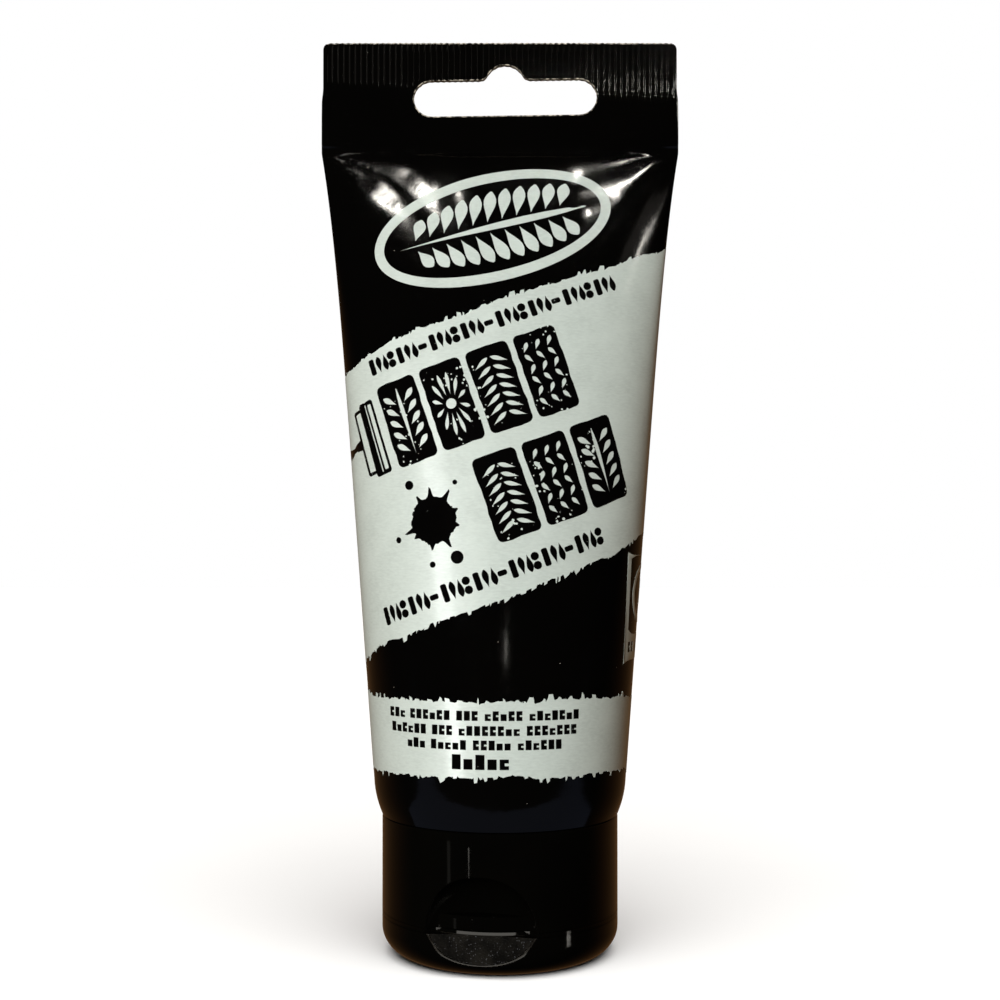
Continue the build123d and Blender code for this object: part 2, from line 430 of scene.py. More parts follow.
# Where the sleeve's skin is, s millimetres round from the middle of the front at height z.
def skinPoint(s, z):
    s, z = np.broadcast_arrays(np.asarray(s, float), np.asarray(z, float))
    half = np.interp(z, table.heights, table.length) / 2
    wrapped = (s + 4 * half) % (4 * half)             # 0 at the middle of the front
    front = (wrapped <= half) | (wrapped >= 3 * half)
    run = np.where(front, np.where(wrapped > 2 * half, wrapped - 4 * half, wrapped), 2 * half - wrapped)
    x, y = table.at(0.5 + run / (2 * half), z)
    side = np.where(front, 1.0, -1.0)
    edge = np.clip(1 - (x / sectionSize(z)[0]) ** 2, 0, 1) ** 0.5
    y = y - dent(x, z, side) * edge
    return np.stack([x, -side * y, z], axis=-1)


def skinNormal(s, z):
    step = 0.15
    across = skinPoint(s + step, z) - skinPoint(s - step, z)
    upward = skinPoint(s, z + step) - skinPoint(s, z - step)
    normal = np.cross(across, upward)
    return normal / np.linalg.norm(normal, axis=-1, keepdims=True)


# The heated jaws' ribs: a rounded ridge every pitch, fading out at their slanting lower ends.
def ribbing(x, z):
    c = sleeve
    foot = c["ribFoot"] + c["ribFootSlope"] * x + 0.25 * np.sin(x * 2.1) * np.sin(x * 0.7)
    wave = np.sin(x * 2 * math.pi / c["ribPitch"])
    wave = np.sign(wave) * np.abs(wave) ** 0.7
    edge = smooth((c["crimpHalfWidth"] - 0.5 - np.abs(x)) / 0.6)
    return c["ribDepth"] * wave * smooth((z - foot) / 0.9) * edge


# One ring of the sleeve's skin, from the left edge along the front and back behind.
def ringRow(z, chamfer=0.0):
    count = sleeve["columns"] // 2
    share = np.linspace(0, 1, count + 1)
    height = np.full(count + 1, float(z))
    x, y = table.at(share, height)
    points = []
    for side in (1, -1):
        edge = np.clip(1 - (x / sectionSize(height)[0]) ** 2, 0, 1) ** 0.5
        shifted = y - dent(x, height, np.full_like(x, side)) * edge
        shifted = np.maximum(shifted - chamfer, 0.02 * (edge > 0.02))
        line = np.stack([x, -side * shifted + ribbing(x, height), height], axis=1)
        points.append(line if side == 1 else line[::-1])
    return np.concatenate([points[0][:-1], points[1][:-1]])


# Quads between two rings whose first points are lower and upper.
def bridge(faces, lower, upper, columns, flip=False):
    for j in range(columns):
        k = (j + 1) % columns
        quad = (lower + j, lower + k, upper + k, upper + j)
        faces.append(quad[::-1] if flip else quad)


# Joins the front half of a flattened ring to its back half; the ends give triangles.
def closeFlat(faces, start, columns, flip=False):
    for j in range(columns // 2):
        quad = (start + j, start + j + 1, start + columns - j - 1, start + (columns - j) % columns)
        quad = tuple(dict.fromkeys(quad))
        faces.append(quad[::-1] if flip else quad)


# A ring at height z from its front half, which runs from left to right.
def bothHalves(x, y, z):
    level = np.full_like(x, z)
    front, back = np.stack([x, -y, level], axis=1), np.stack([x, y, level], axis=1)[::-1]
    return np.concatenate([front[:-1], back[:-1]])


hangSlot = {"length": 30.8, "height": 6.1, "notchRise": 2.5, "notchRadius": 3.4, "notchFillet": 1.5,
            "centre": (0.9, 142.1), "tilt": 0.8}


# The punched slot's edge: round ends and a rounded peg notch in its upper side.
def hangSlotOutline():
    c = hangSlot
    r, half = c["height"] / 2, c["length"] / 2
    peg, fillet, sink = c["notchRadius"], c["notchFillet"], c["notchRadius"] - c["notchRise"]
    away = math.sqrt((peg + fillet) ** 2 - (sink + fillet) ** 2)
    lean = math.degrees(math.atan2(sink + fillet, away))
    points = arc((half - r, 0), r, -90, 90, 13)
    points += arc((away, r + fillet), fillet, 270, 180 + lean, 6)
    points += arc((0, r - sink), peg, lean, 180 - lean, 19)[1:-1]
    points += arc((-away, r + fillet), fillet, -lean, -90, 6)
    points += arc((r - half, 0), r, 90, 270, 13)
    return turned(points, c["centre"], c["tilt"])


def makeSleeve():
    c = sleeve
    columns = c["columns"]
    shoulderRows = np.linspace(c["bottom"], c["bottom"] + 7, 10)
    wallRows = np.linspace(c["bottom"] + 9, 106.3, 32)
    body = [*shoulderRows, *wallRows, *np.arange(107, c["crimpFoot"] - 0.3, 0.65), c["crimpFoot"]]
    crimpRows = [0.35, 0.7, 1.1, 1.6, 2.6, 4.5, 6.5]
    ribRows = np.arange(-1.4, 2.01, 0.34) + c["ribFoot"]
    topRows = [146.2, 147.8, 149.2, 150.3, 150.7, 150.95, c["top"] - c["edgeChamfer"]]
    rows = body + [c["crimpFoot"] + h for h in crimpRows] + list(ribRows) + topRows
    rings = [ringRow(z) for z in rows]
    rings.append(ringRow(c["top"], chamfer=c["edgeChamfer"]))
    verts = np.concatenate(rings)
    faces, kinds = [], []
    for i in range(len(rings) - 1):
        bridge(faces, i * columns, (i + 1) * columns, columns)
        # the top chamfer row and the cut top take the cut edge material, pale partly as a painted highlight
        kinds += [1 if i == len(rings) - 2 else 0] * columns
    top = (len(rings) - 1) * columns
    closeFlat(faces, top, columns)                    # the cut top
    kinds += [1] * (columns // 2)
    inner = SectionTable(inset=c["wall"])
    innerStops = c["bottom"] + (c["crimpFoot"] - c["bottom"]) * np.linspace(0, 0.985, 12)
    share = np.linspace(0, 1, columns // 2 + 1)
    start = len(verts)
    innerRings = []
    for z in innerStops:
        innerRings.append(bothHalves(*inner.at(share, np.full(len(share), z)), z))
    verts = np.concatenate([verts] + innerRings)
    bridge(faces, 0, start, columns, flip=True)       # rim at the shoulder
    kinds += [0] * columns
    for i in range(len(innerRings) - 1):
        bridge(faces, start + i * columns, start + (i + 1) * columns, columns, flip=True)
        kinds += [0] * columns
    last = start + (len(innerRings) - 1) * columns
    closeFlat(faces, last, columns, flip=True)
    kinds += [0] * (columns // 2)
    piece = makePiece("sleeve_skin", verts, faces, [blackSleeve, cutEdgeWithHighlight], kinds, smoothAngle=40)
    punchSlot(piece)
    return piece


def punchSlot(piece):
    outline = hangSlotOutline()
    count = len(outline)
    verts = [(x, y, z) for y in (-4, 4) for x, z in outline]
    faces = [tuple(range(count)), tuple(range(2 * count - 1, count - 1, -1))]
    faces += [((i + 1) % count, i, count + i, count + (i + 1) % count) for i in range(count)]
    cutter = makePiece("slot_cutter", verts, faces, [cutEdgeWithHighlight])
    cut = piece.modifiers.new("slot", "BOOLEAN")
    cut.object = cutter
    cut.operation = "DIFFERENCE"
    cut.solver = "EXACT"
    cut.material_mode = "TRANSFER"
    bpy.context.view_layer.update()
    applyModifiers(piece)
    piece.data.shade_smooth()
    piece.data.set_sharp_from_angle(angle=math.radians(40))
    bpy.data.objects.remove(cutter)


def makeSlotBurr():
    # the raised lip that the punch leaves round the slot on the front, in the cut edge material that is pale
    # partly as a painted highlight
    outline = np.array(hangSlotOutline())
    count, sides, thick = len(outline), 6, 0.1
    ahead, behind = np.roll(outline, -1, axis=0), np.roll(outline, 1, axis=0)
    step = ahead - behind
    outward = np.stack([step[:, 1], -step[:, 0]], axis=1) / np.linalg.norm(step, axis=1)[:, None]
    verts, faces = [], []
    for i in range(sides):
        a = 2 * math.pi * i / sides
        ring = outline + outward * (0.03 + thick * math.cos(a))
        y = -sleeve["weldHalfDepth"] - 0.01 + thick * math.sin(a)
        verts += [(x, y, z) for x, z in ring]
    for i in range(sides):
        bridge(faces, i * count, ((i + 1) % sides) * count, count)
    return makePiece("slot_burr", verts, faces, [cutEdgeWithHighlight], smoothAngle=80)


sleevePiece = makeSleeve()
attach(sleevePiece, "tube")
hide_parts("tube_sleeve")
burrPiece = makeSlotBurr()
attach(burrPiece, "tube")
print("sleeve:", len(sleevePiece.data.polygons), "faces")


# ink inside the sleeve

# Follows the sleeve's inner wall, then the head's cone and the neck.
def makeInk():
    low, high = (toMm(c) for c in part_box("ink_fill"))
    columns = 192
    inner = SectionTable(inset=sleeve["wall"] + 0.2)
    share = np.linspace(0, 1, columns // 2 + 1)
    rings = []
    for radius, z in ((6.1, low[2]), (6.1, 18.7), (16.6, 23.7), (16.7, 26.8)):
        turn = np.linspace(0, 2 * math.pi, columns, endpoint=False) + math.pi
        rings.append(np.stack([radius * np.cos(turn), radius * np.sin(turn), np.full(columns, z)], axis=1))
    for z in np.linspace(26.9, high[2] - 0.3, 40):
        x, y = inner.at(share, np.full(len(share), z))
        rings.append(bothHalves(x, np.maximum(y - 0.2, 0), z))
    faces = [tuple(range(columns))[::-1]]
    for i in range(len(rings) - 1):
        bridge(faces, i * columns, (i + 1) * columns, columns)
    last = (len(rings) - 1) * columns
    faces.append(tuple(range(last, last + columns)))
    return makePiece("ink_paste", np.concatenate(rings), faces, [blackInk])


inkPiece = makeInk()
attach(inkPiece, "tube")
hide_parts("ink_fill")
print("ink made")


# print: thin closed skins that follow the sleeve, laid out by s round from the front's middle and height

printLayout = {
    "bandTop": (106.8, 0.3575, -0.001),       # torn upper edge of the wide band: height, slope, bow
    "bandFoot": (59.1, 0.362, -0.0007),
    "bandReach": 37.0,
    "lowTop": (43.0, 0.0, -0.0007),
    "lowFoot": (31.5, 0.0, -0.0013),
    "lowReach": 35.0,
    "lean": 19.2,                             # degrees that the blocks and rows are turned
    "upperBlocks": {"centre": (-4.0, 91.2), "count": 4, "wide": 7.1, "gap": 1.0, "tall": 13.9},
    "lowerBlocks": {"centre": (8.9, 78.0), "count": 3, "wide": 7.3, "gap": 1.0, "tall": 13.9},
    "upperRow": {"from": (-22.0, 94.6), "to": (18.7, 108.7), "tall": 2.7},
    "lowerRow": {"from": (-20.0, 54.2), "to": (17.5, 67.5), "tall": 2.9},
    "lines": [(40.8, -19.6, 14.0, 1.5), (38.5, -19.2, 13.5, 1.5), (36.3, -15.7, 10.4, 1.5),
              (33.7, -7.6, 2.4, 2.3)],
    "splat": (-10.7, 71.2),
    "roller": (-21.6, 84.6),
    "emblem": (-1.3, 119.2),
    "whiteLift": 0.035,
    "blackLift": 0.06,
    "sunk": 0.07,
}


def along(edge, s):
    height, slope, bow = edge
    return height + slope * s + bow * s * s


def halfRound(z):
    # from the middle of the front to the side fold, along the skin
    return np.interp(z, table.heights, table.length) / 2


def insideLoops(points, loops):
    inside = np.zeros(len(points), bool)
    px, pz = points[:, 0][:, None], points[:, 1][:, None]
    for loop in loops:
        a = np.asarray(loop, float)
        b = np.roll(a, -1, axis=0)
        steps = (a[:, 1] > pz) != (b[:, 1] > pz)
        rise = np.where(b[:, 1] == a[:, 1], 1e-9, b[:, 1] - a[:, 1])
        cross = a[:, 0] + (pz - a[:, 1]) * (b[:, 0] - a[:, 0]) / rise
        inside ^= ((px < cross) & steps).sum(axis=1) % 2 == 1
    return inside


def gridInside(loops, onBack):
    # inner points for a printed shape, closer together round the side folds
    everything = np.concatenate([np.asarray(loop, float) for loop in loops])
    low, high = everything.min(axis=0), everything.max(axis=0)
    points = []
    for z in np.arange(low[1] + 0.5, high[1], 1.0):
        half = float(halfRound(z))
        fine = np.arange(-3.5, 3.51, 0.25)
        stops = np.arange(-half + 4, half - 3.5, 1.0)
        far = np.arange(half + 5.5, half + 14, 1.0)
        folds = [half + fine, -half + fine, [half + 4.5, -half - 4.5], far, -far]
        row = stops if onBack else np.concatenate([stops, *folds])
        row = row[(row > low[0]) & (row < high[0])]
        points += [(s, z) for s in row]
    if not points:
        return []
    points = np.array(points)
    return points[insideLoops(points, loops)].tolist()


def printOn(name, loops, material, lift, onBack=False):
    # fills the loops by the even-odd rule and lays the shape on the sleeve as a thin closed skin
    points, edges = [], []
    for loop in loops:
        start = len(points)
        points += [tuple(p) for p in loop]
        edges += [(start + i, start + (i + 1) % len(loop)) for i in range(len(loop))]
    points += gridInside(loops, onBack)
    flat, _, triangles, _, _, _ = geometry.delaunay_2d_cdt(
        [Vector(p) for p in points], edges, [], 0, 1e-5
    )
    flat = np.array([tuple(v) for v in flat])
    triangles = np.array([tuple(t) for t in triangles])
    middle = flat[triangles].mean(axis=1)
    triangles = triangles[insideLoops(middle, loops)]
    used = np.unique(triangles)
    renumber = np.full(len(flat), -1)
    renumber[used] = np.arange(len(used))
    flat, triangles = flat[used], renumber[triangles]
    corners = flat[triangles]
    first, second = corners[:, 1] - corners[:, 0], corners[:, 2] - corners[:, 0]
    area = first[:, 0] * second[:, 1] - first[:, 1] * second[:, 0]
    triangles[area < 0] = triangles[area < 0][:, ::-1]
    s, z = flat[:, 0], flat[:, 1]
    if onBack:
        s = s + 2 * halfRound(z)
    ground, normal = skinPoint(s, z), skinNormal(s, z)
    count = len(flat)
    verts = np.concatenate([ground + normal * lift, ground - normal * printLayout["sunk"]])
    faces = [tuple(int(v) for v in t) for t in triangles]
    directed = {(t[i], t[(i + 1) % 3]) for t in faces for i in range(3)}
    walls = [(a, a + count, b + count, b) for a, b in directed if (b, a) not in directed]
    under = [tuple(v + count for v in reversed(t)) for t in faces]
    piece = makePiece(name, verts, faces + under + sorted(walls), [material], smoothAngle=30)
    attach(piece, "tube")
    return piece


def tornEdge(heightAt, start, stop, seed, outward):
    # a roller's ragged edge: a wandering line with slanted flakes
    chance = random.Random(seed)
    points, s, drift = [], start, 0.0
    while s < stop:
        drift = 0.86 * drift + chance.uniform(-0.2, 0.2)
        points.append((s, heightAt(s) + outward * drift))
        if chance.random() < 0.34:
            lean, reach = chance.uniform(-0.12, 0.45), 0.15 + 0.75 * chance.random() ** 2
            points.append((s + lean, heightAt(s + lean) + outward * (drift + reach)))
            s += max(lean, 0.05) + 0.08 + 0.7 * chance.random() ** 2
            points.append((s, heightAt(s) + outward * (drift + reach * chance.uniform(0.4, 1.1))))
            s += chance.uniform(0.03, 0.2)
            points.append((s, heightAt(s) + outward * (drift + chance.uniform(-0.25, 0.2))))
        s += 0.12 + 0.75 * chance.random() ** 2
    return points


def tornBand(top, foot, reach, seed):
    lower = tornEdge(lambda s: along(foot, s), -reach, reach, seed, -1)
    upper = tornEdge(lambda s: along(top, s), -reach, reach, seed + 1, 1)
    right = tornEdge(lambda z: reach, along(foot, reach) + 0.8, along(top, reach) - 0.8, seed + 2, 1)
    left = tornEdge(lambda z: -reach, along(foot, -reach) + 0.8, along(top, -reach) - 0.8, seed + 3, -1)
    return lower + [(s, z) for z, s in right] + upper[::-1] + [(s, z) for z, s in left][::-1]


def roundedBar(wide, tall, corner, rough=0.0, seed=1):
    # an upright block with rounded corners; rough lets its sides wander like a hand-cut edge
    chance = random.Random(seed)
    points = []
    for quarter, (cx, cz) in enumerate(((1, -1), (1, 1), (-1, 1), (-1, -1))):
        for i in range(5):
            a = math.radians(-90 + 90 * quarter + 22.5 * i)
            points.append((cx * (wide / 2 - corner) + corner * math.cos(a),
                           cz * (tall / 2 - corner) + corner * math.sin(a)))
        if rough:
            a = points[-1]
            nx, nz = ((1, 1), (-1, 1), (-1, -1), (1, -1))[quarter]
            sideEnd = (nx * wide / 2, nz * (tall / 2 - corner))
            topEnd = (nx * (wide / 2 - corner), nz * tall / 2)
            b = topEnd if quarter % 2 else sideEnd
            steps = 9 if quarter % 2 == 0 else 4
            for i in range(1, steps):
                x, z = a[0] + (b[0] - a[0]) * i / steps, a[1] + (b[1] - a[1]) * i / steps
                points.append((x + chance.uniform(-rough, rough), z + chance.uniform(-rough, rough)))
    return points


def gouge(x0, z0, x1, z1, wide):
    # one cut of a lino gouge: enters narrow, widens, and ends round
    length = math.hypot(x1 - x0, z1 - z0)
    ux, uz = (x1 - x0) / length, (z1 - z0) / length
    steps = [i / 9 for i in range(1, 10)]
    side = [(t * length, 0.5 * wide * math.sin(math.pi * min(t, 0.985) ** 1.7) ** 0.75) for t in steps]
    outline = [(0, 0)] + side + [(t, -w) for t, w in side[::-1]]
    return [(x0 + t * ux + w * uz, z0 + t * uz - w * ux) for t, w in outline]


def disc(x, z, radius, count=16):
    turn = [2 * math.pi * i / count for i in range(count)]
    return [(x + radius * math.cos(a), z + radius * math.sin(a)) for a in turn]


def fernCuts():
    cuts = [gouge(0, -5.6, 0, 5.6, 0.7)]
    for i in range(5):
        z = -4.9 + 2.0 * i
        cuts += [gouge(side * 0.75, z, side * 2.75, z + 1.7, 0.95) for side in (-1, 1)]
    return cuts


def sunCuts():
    cuts = [disc(0, 0, 0.85)]
    for i in range(12):
        a = math.radians(15 + 30 * i)
        cuts.append(gouge(1.35 * math.cos(a), 1.5 * math.sin(a), 2.9 * math.cos(a), 5.3 * math.sin(a), 0.62))
    return cuts


def furrowCuts():
    cuts = []
    for i in range(7):
        z = -5.6 + 1.55 * i
        cuts += [gouge(side * 2.8, z, side * 0.25, z + 1.4, 0.72) for side in (-1, 1)]
    return cuts


def wheatCuts():
    cuts = []
    for column in (-2.0, 0.0, 2.0):
        for i in range(6):
            lean = 0.5 if (i + int(column)) % 2 else -0.5
            z = -5.4 + 1.85 * i
            cuts.append(gouge(column - lean, z, column + lean, z + 1.5, 0.7))
    return cuts


def blockRow(row, firstCut, seed):
    # a row of lino blocks, each with its own cut pattern
    patterns = (fernCuts, sunCuts, furrowCuts, wheatCuts)
    lean = printLayout["lean"]
    loops = []
    for i in range(row["count"]):
        shift = (i - (row["count"] - 1) / 2) * (row["wide"] + row["gap"])
        centre = turned([(shift, 0)], row["centre"], lean)[0]
        block = roundedBar(row["wide"], row["tall"], 0.9, rough=0.11, seed=seed + i)
        loops.append(turned(block, centre, lean))
        loops += [turned(cut, centre, lean) for cut in patterns[(i + firstCut) % 4]()]
    return loops


def ornamentRow(row, seed):
    # a border of small cut marks: upright bars, leaves and dots
    (x0, z0), (x1, z1), tall = row["from"], row["to"], row["tall"]
    length, lean = math.hypot(x1 - x0, z1 - z0), math.degrees(math.atan2(z1 - z0, x1 - x0))
    chance = random.Random(seed)
    loops, t, mark = [], 0.8, 0
    while t < length:
        kind = mark % 6
        if kind in (0, 3):
            shapes = [roundedBar(1.0, tall, 0.3)]
        elif kind in (1, 4):
            shapes = [gouge(-0.5, -tall / 2, -0.5, tall / 2, 1.05),
                      gouge(0.75, tall / 2, 0.75, -tall / 2, 1.05)]
        elif kind == 2:
            shapes = [disc(0, tall * 0.26, 0.68, 10), disc(0, -tall * 0.26, 0.68, 10)]
        else:
            shapes = [roundedBar(1.5, 0.85, 0.3)]
        centre = (x0 + (x1 - x0) * t / length, z0 + (z1 - z0) * t / length)
        up = turned([(0, tall / 2)], centre, lean)[0]
        loops += [turned(shape, up, lean) for shape in shapes]
        t += (1.9, 1.95, 1.7, 1.9, 2.15, 1.9)[kind] + chance.uniform(-0.05, 0.05)
        mark += 1
    return loops


def wordMarks(z, start, stop, tall, seed):
    # a line of tiny upright marks in word-long groups
    chance = random.Random(seed)
    loops, s = [], start
    wide = 0.62 * tall
    while s < stop:
        for _ in range(chance.randint(2, 8)):
            if s + wide > stop:
                break
            low = -tall / 2
            high = tall / 2 - (chance.choice((0, 0, 0.3)) * tall)
            notch = chance.random() < 0.55
            box = [(s, z + low), (s + wide, z + low), (s + wide, z + high), (s, z + high)]
            if notch:
                mid = z + (low + high) / 2
                box = box[:2] + [(s + wide, mid - 0.09 * tall), (s + wide * 0.55, mid - 0.09 * tall),
                                 (s + wide * 0.55, mid + 0.09 * tall),
                                 (s + wide, mid + 0.09 * tall)] + box[2:]
            loops.append(box)
            s += wide + 0.2 * tall
        s += 0.55 * tall
    return loops


def splatLoops(centre):
    # a blot with runs and satellite drops
    loop = []
    spikes = {25: 1.3, 62: 3.4, 98: 3.0, 128: 2.1, 205: 3.3, 222: 1.6, 268: 1.9, 305: 2.6, 350: 1.5}
    for degrees in range(0, 360, 3):
        a = math.radians(degrees)
        r = 3.75 + 0.3 * noise.noise(Vector((3 * math.cos(a), 3 * math.sin(a), 4.0)))
        r += 0.22 * noise.noise(Vector((11 * math.cos(a), 11 * math.sin(a), 9.0)))
        for at, reach in spikes.items():
            away = abs((degrees - at + 180) % 360 - 180)
            r += reach * 0.55 * math.exp(-(away / 4.2) ** 2)
        loop.append((r * math.cos(a), r * math.sin(a)))
    drops = [disc(7.0 * math.cos(a), 7.0 * math.sin(a), r, 14)
             for a, r in ((math.radians(127), 0.75), (math.radians(207), 0.5), (math.radians(304), 1.05),
                          (math.radians(269), 0.5), (math.radians(60), 0.4))]
    return [turned(shape, centre, 0) for shape in [loop] + drops]


def rollerLoops(centre):
    # a small drawing of an ink roller: barrel with a light stripe, frame arm and handle
    lean = printLayout["lean"]
    barrel = roundedBar(3.2, 12.6, 0.5)
    shine = roundedBar(0.75, 11.2, 0.2)
    inner = [(x + 0.75, z) for x, z in shine]
    line = [(x - 0.15, z) for x, z in roundedBar(0.22, 11.6, 0.1)]
    arm = [(-1.6, 5.1), (-1.6, 5.6), (-3.1, 5.6), (-3.4, 5.2), (-3.4, 0.9), (-4.3, 0.7),
           (-8.2, 0.9), (-8.6, 0.3), (-8.6, -0.3), (-8.2, -0.9), (-4.3, -0.7), (-3.4, -0.9),
           (-3.4, -5.2), (-3.1, -5.6), (-1.6, -5.6), (-1.6, -5.1), (-2.9, -5.0), (-2.9, 5.0)]
    return [turned(shape, centre, lean) for shape in (barrel, inner, line, arm[::-1])]


def emblemLoops(centre):
    # a tilted oval ring round a cut sprig
    tilt = 14.0
    wide, tall, line = 20.2, 9.3, 1.7
    oval = [(math.cos(a), math.sin(a)) for a in (2 * math.pi * i / 120 for i in range(120))]
    shapes = [[(x * wide, z * tall) for x, z in oval],
              [(x * (wide - line), z * (tall - line)) for x, z in oval]]
    shapes.append(gouge(-15.6, 0, 15.9, 0, 1.2))
    for i in range(11):
        x = -12.8 + 2.45 * i
        reach = 6.0 * math.sqrt(max(0.0, 1 - (x / 17.5) ** 2))
        shapes += [gouge(x, side * 0.95, x + 1.9, side * reach, 2.05) for side in (-1, 1)]
    return [turned(shape, centre, tilt) for shape in shapes]


def sidePanelLoops():
    outer = [(23.3, 48.0), (37.5, 48.0), (37.5, 66.0), (23.3, 66.0)]
    window = [(24.4, 53.4), (36.4, 53.4), (36.4, 65.0), (24.4, 65.0)]
    ring = [disc(30.4, 59.2, 4.9, 40), disc(30.4, 59.2, 4.1, 40)]
    arrow = [(28.9, 57.4), (31.9, 57.4), (30.4, 61.6)]
    return [outer, window, *ring, arrow] + wordMarks(50.6, 24.6, 36.0, 1.7, 31)


def backPanelLoops():
    loops = [roundedBar(38, 74, 1.6), roundedBar(36.6, 72.6, 1.0)]
    loops = [turned(loop, (0, 78), 0) for loop in loops]
    loops += wordMarks(110.5, -16.0, 12.0, 2.4, 41)
    for i in range(7):
        loops += wordMarks(104.5 - 2.6 * i, -16.0, (15.5, 14.0, 16.0, 12.5, 15.0, 16.0, 4.0)[i], 1.3, 50 + i)
    for i in range(6):
        loops += wordMarks(82.5 - 2.6 * i, -16.0, (14.5, 16.0, 13.0, 15.5, 16.0, 7.5)[i], 1.3, 70 + i)
    for i in range(3):
        x = -11.5 + 11.5 * i
        loops += [disc(x, 58.5, 4.6, 40), disc(x, 58.5, 4.0, 40)]
    loops += [gouge(-11.5, 55.4, -11.5, 61.8, 2.4), turned(roundedBar(1.6, 5.2, 0.4), (0, 58.5), 45),
              disc(11.5, 57.8, 1.8), gouge(11.5, 59.9, 11.5, 61.7, 1.0)]
    loops += wordMarks(48.6, -16.0, 16.0, 1.3, 90) + wordMarks(45.8, -16.0, 10.0, 1.3, 91)
    return loops


layout = printLayout
white, black = layout["whiteLift"], layout["blackLift"]
wideBand = tornBand(layout["bandTop"], layout["bandFoot"], layout["bandReach"], 11)
lowBand = tornBand(layout["lowTop"], layout["lowFoot"], layout["lowReach"], 23)
printOn("print_wide_band", [wideBand], whitePrint, white)
printOn("print_low_band", [lowBand], whitePrint, white)
printOn("print_emblem", emblemLoops(layout["emblem"]), whitePrint, white)
printOn("print_side_panel", sidePanelLoops(), whitePrint, white)
printOn("print_back_panel", backPanelLoops(), whitePrint, white, onBack=True)
printOn("print_upper_blocks", blockRow(layout["upperBlocks"], 0, 61), blockPrint, black)
printOn("print_lower_blocks", blockRow(layout["lowerBlocks"], 2, 67), blockPrint, black)
printOn("print_upper_border", ornamentRow(layout["upperRow"], 3), finePrint, black)
printOn("print_lower_border", ornamentRow(layout["lowerRow"], 5), finePrint, black)
printOn("print_splat", splatLoops(layout["splat"]), finePrint, black)
printOn("print_roller_drawing", rollerLoops(layout["roller"]), finePrint, black)
smallLines = []
for i, (z, start, stop, tall) in enumerate(layout["lines"]):
    smallLines += wordMarks(z, start, stop, tall, 100 + i)
printOn("print_small_lines", smallLines, finePrint, black)
print("print laid on the sleeve")


# cap: a turned shell with the thumb recess, its snap collar and nozzle, and the flip lid

cap = {
    "turned": -9.8,             # degrees round from the sleeve's front
    "radius": 19.55,
    "wall": 1.3,
    "parting": 7.1,             # height of the line between lid and cap body
    "top": toMm(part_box("cap_body")[1])[2],
    "rim": 0.4,
    "deckLow": 7.9,
    "deckTop": 9.4,
    "recessWide": 9.8,          # half width of the thumb recess
    "recessDeep": 5.5,
    "recessHeight": 6.1,
    "backing": 1.2,
    "ledge": 17.4,              # radius of the ledge that the lid's lip closes on
    "ledgeTop": 9.3,
    "lip": 6.4,
    "scoopRadius": 58.5,
    "scoopOut": 70.97,
    "scoopUp": 28.7,
    "facet": 18.9,              # flat at the back for the film hinge
    "facetHigh": 12.7,
    "facetLow": 1.5,
    "edge": 4.5,                # rounding of the lid's lower edge
    "soft": 0.4,                # rounding of moulded edges
}


def capAngles():
    # degrees from the thumb recess, close together across it and at the hinge's flat
    fine = np.arange(-33, 33.01, 0.3)
    facetEdge = math.degrees(math.acos(cap["facet"] / cap["radius"]))
    right = list(np.arange(36, 160, 3)) + [180 - facetEdge] + list(np.arange(168, 180, 3))
    left = [-a for a in right[::-1]]
    return np.radians(np.array(left + list(fine) + right + [180.0]))


around = capAngles()


def recessRadius(z, grow=0.0):
    # where a level ray from the axis meets the recess's rounded back
    wide, deep = (cap["recessWide"] + grow) ** 2, (cap["recessDeep"] + grow) ** 2
    a = np.sin(around) ** 2 / wide + np.cos(around) ** 2 / deep
    b = -2 * cap["radius"] * np.cos(around) / deep
    c = (z - cap["recessHeight"]) ** 2 / wide + cap["radius"] ** 2 / deep - 1
    inner = b * b - 4 * a * c
    root = (-b - np.sqrt(np.maximum(inner, 0))) / (2 * a)
    return np.where((inner > 0) & (np.cos(around) > 0), root, 40.0)


def scoopRadius(z, grow=0.0):
    out, size = cap["scoopOut"], cap["scoopRadius"] + grow
    inner = (out * np.cos(around)) ** 2 - (out**2 + (z - cap["scoopUp"]) ** 2 - size**2)
    root = out * np.cos(around) - np.sqrt(np.maximum(inner, 0))
    return np.where((inner > 0) & (np.cos(around) > 0), root, 40.0)


def facetRadius():
    behind = -np.cos(around)
    return np.where(behind > 0.5, cap["facet"] / np.maximum(behind, 0.5), 40.0)


def ringAt(radius, z):
    radius = np.broadcast_to(np.asarray(radius, float), around.shape)
    turn = around + math.radians(cap["turned"]) - math.pi / 2
    return np.stack([radius * np.cos(turn), radius * np.sin(turn), np.full(len(around), float(z))], axis=1)


def turnedShell(name, rings, materials, kinds, closed):
    # rings run outward, up, inward and down; a closed shell joins its last ring to its first
    count = len(around)
    faces = []
    for i in range(len(rings) - 1):
        bridge(faces, i * count, (i + 1) * count, count)
    if closed:
        bridge(faces, (len(rings) - 1) * count, 0, count)
    else:
        faces.append(tuple(range(count))[::-1])
        last = (len(rings) - 1) * count
        faces.append(tuple(range(last, last + count)))
    kinds = list(kinds) + [0] * (len(faces) - len(kinds))
    return makePiece(name, np.concatenate(rings), faces, materials, kinds, smoothAngle=32)


